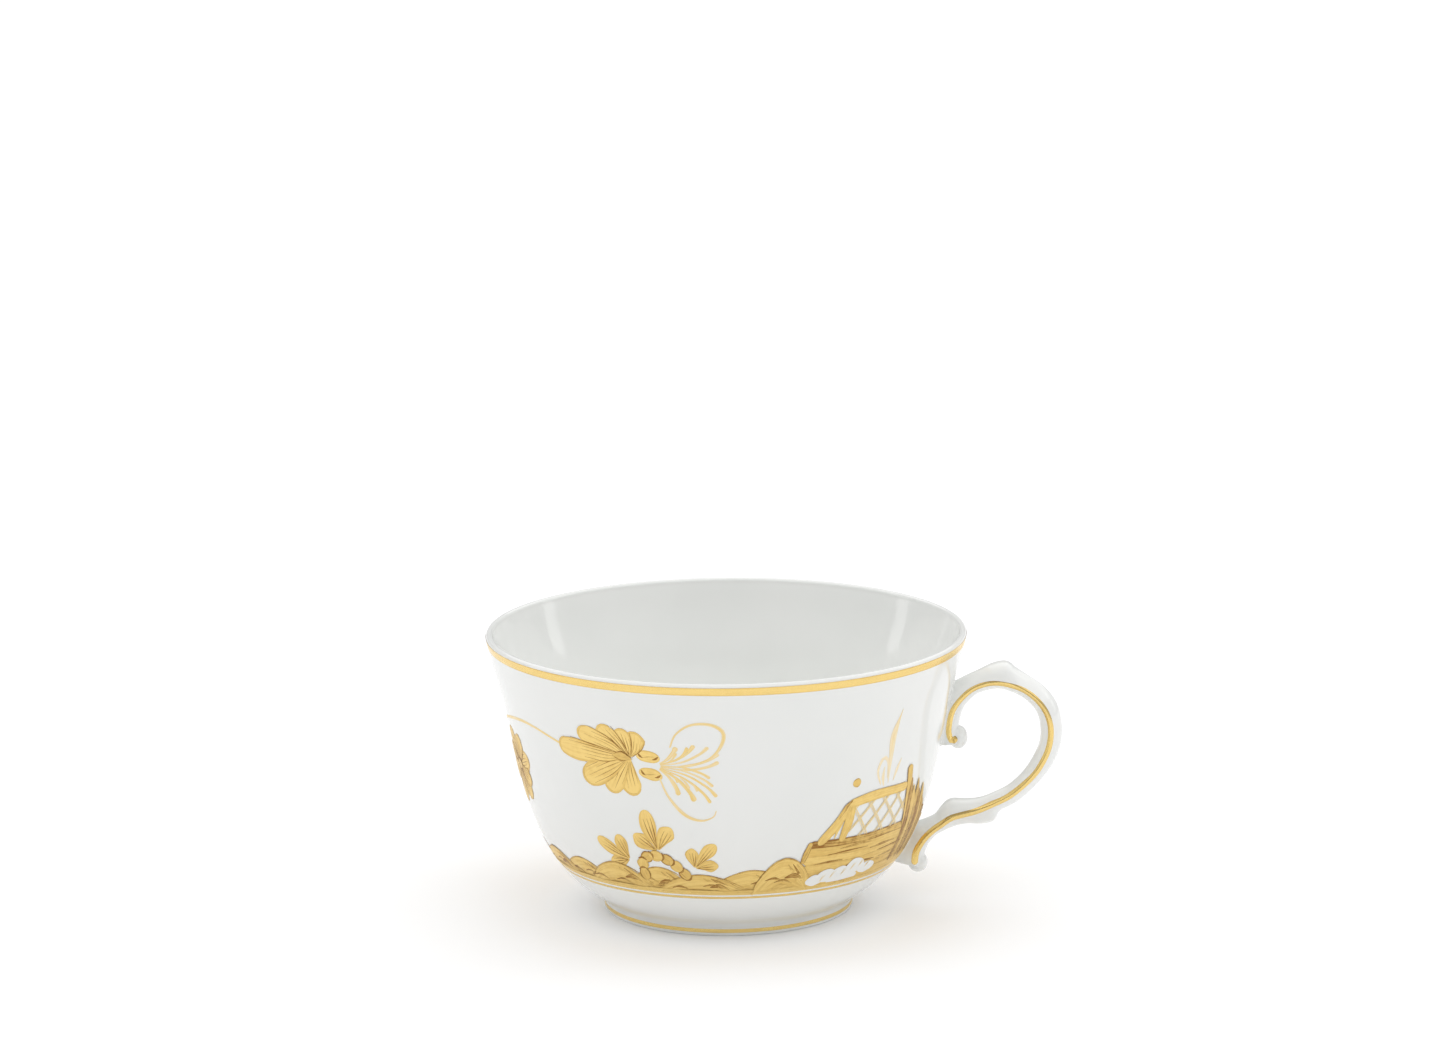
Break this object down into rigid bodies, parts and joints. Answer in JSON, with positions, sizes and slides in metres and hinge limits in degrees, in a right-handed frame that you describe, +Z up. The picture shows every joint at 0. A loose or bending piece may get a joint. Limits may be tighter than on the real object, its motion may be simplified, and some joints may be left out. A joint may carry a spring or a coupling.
{
  "type": "teacup",
  "caption": "Round-bodied porcelain teacup on a low foot ring, with a scrolled loop handle and fine gilt lines.",
  "frame": {"origin": "on the table plane, at the middle of the footprint box of bowl and handle; the bowl's axis stands 9.35 mm to the -X side of it", "axes": "+Z up along the bowl's axis, +X towards the handle, and the handle lies in the XZ plane"},
  "size_m": [0.1142, 0.0956, 0.056],
  "materials": {
    "porcelain": "clear glossy glaze over white porcelain",
    "slip": "fired porcelain slip under glaze",
    "gilding": "burnished gilt, laid on by brush and fired"
  },
  "bodies": {
    "root": {"bowl": "porcelain", "foot_ring": "porcelain", "handle": "porcelain", "upper_slip_joint": "slip", "lower_slip_joint": "slip", "rim_gilding": "gilding", "ground_line_gilding": "gilding", "thin_line_gilding": "gilding", "foot_gilding": "gilding", "handle_gilding_front": "gilding", "handle_gilding_back": "gilding"}
  },
  "joints": []
}
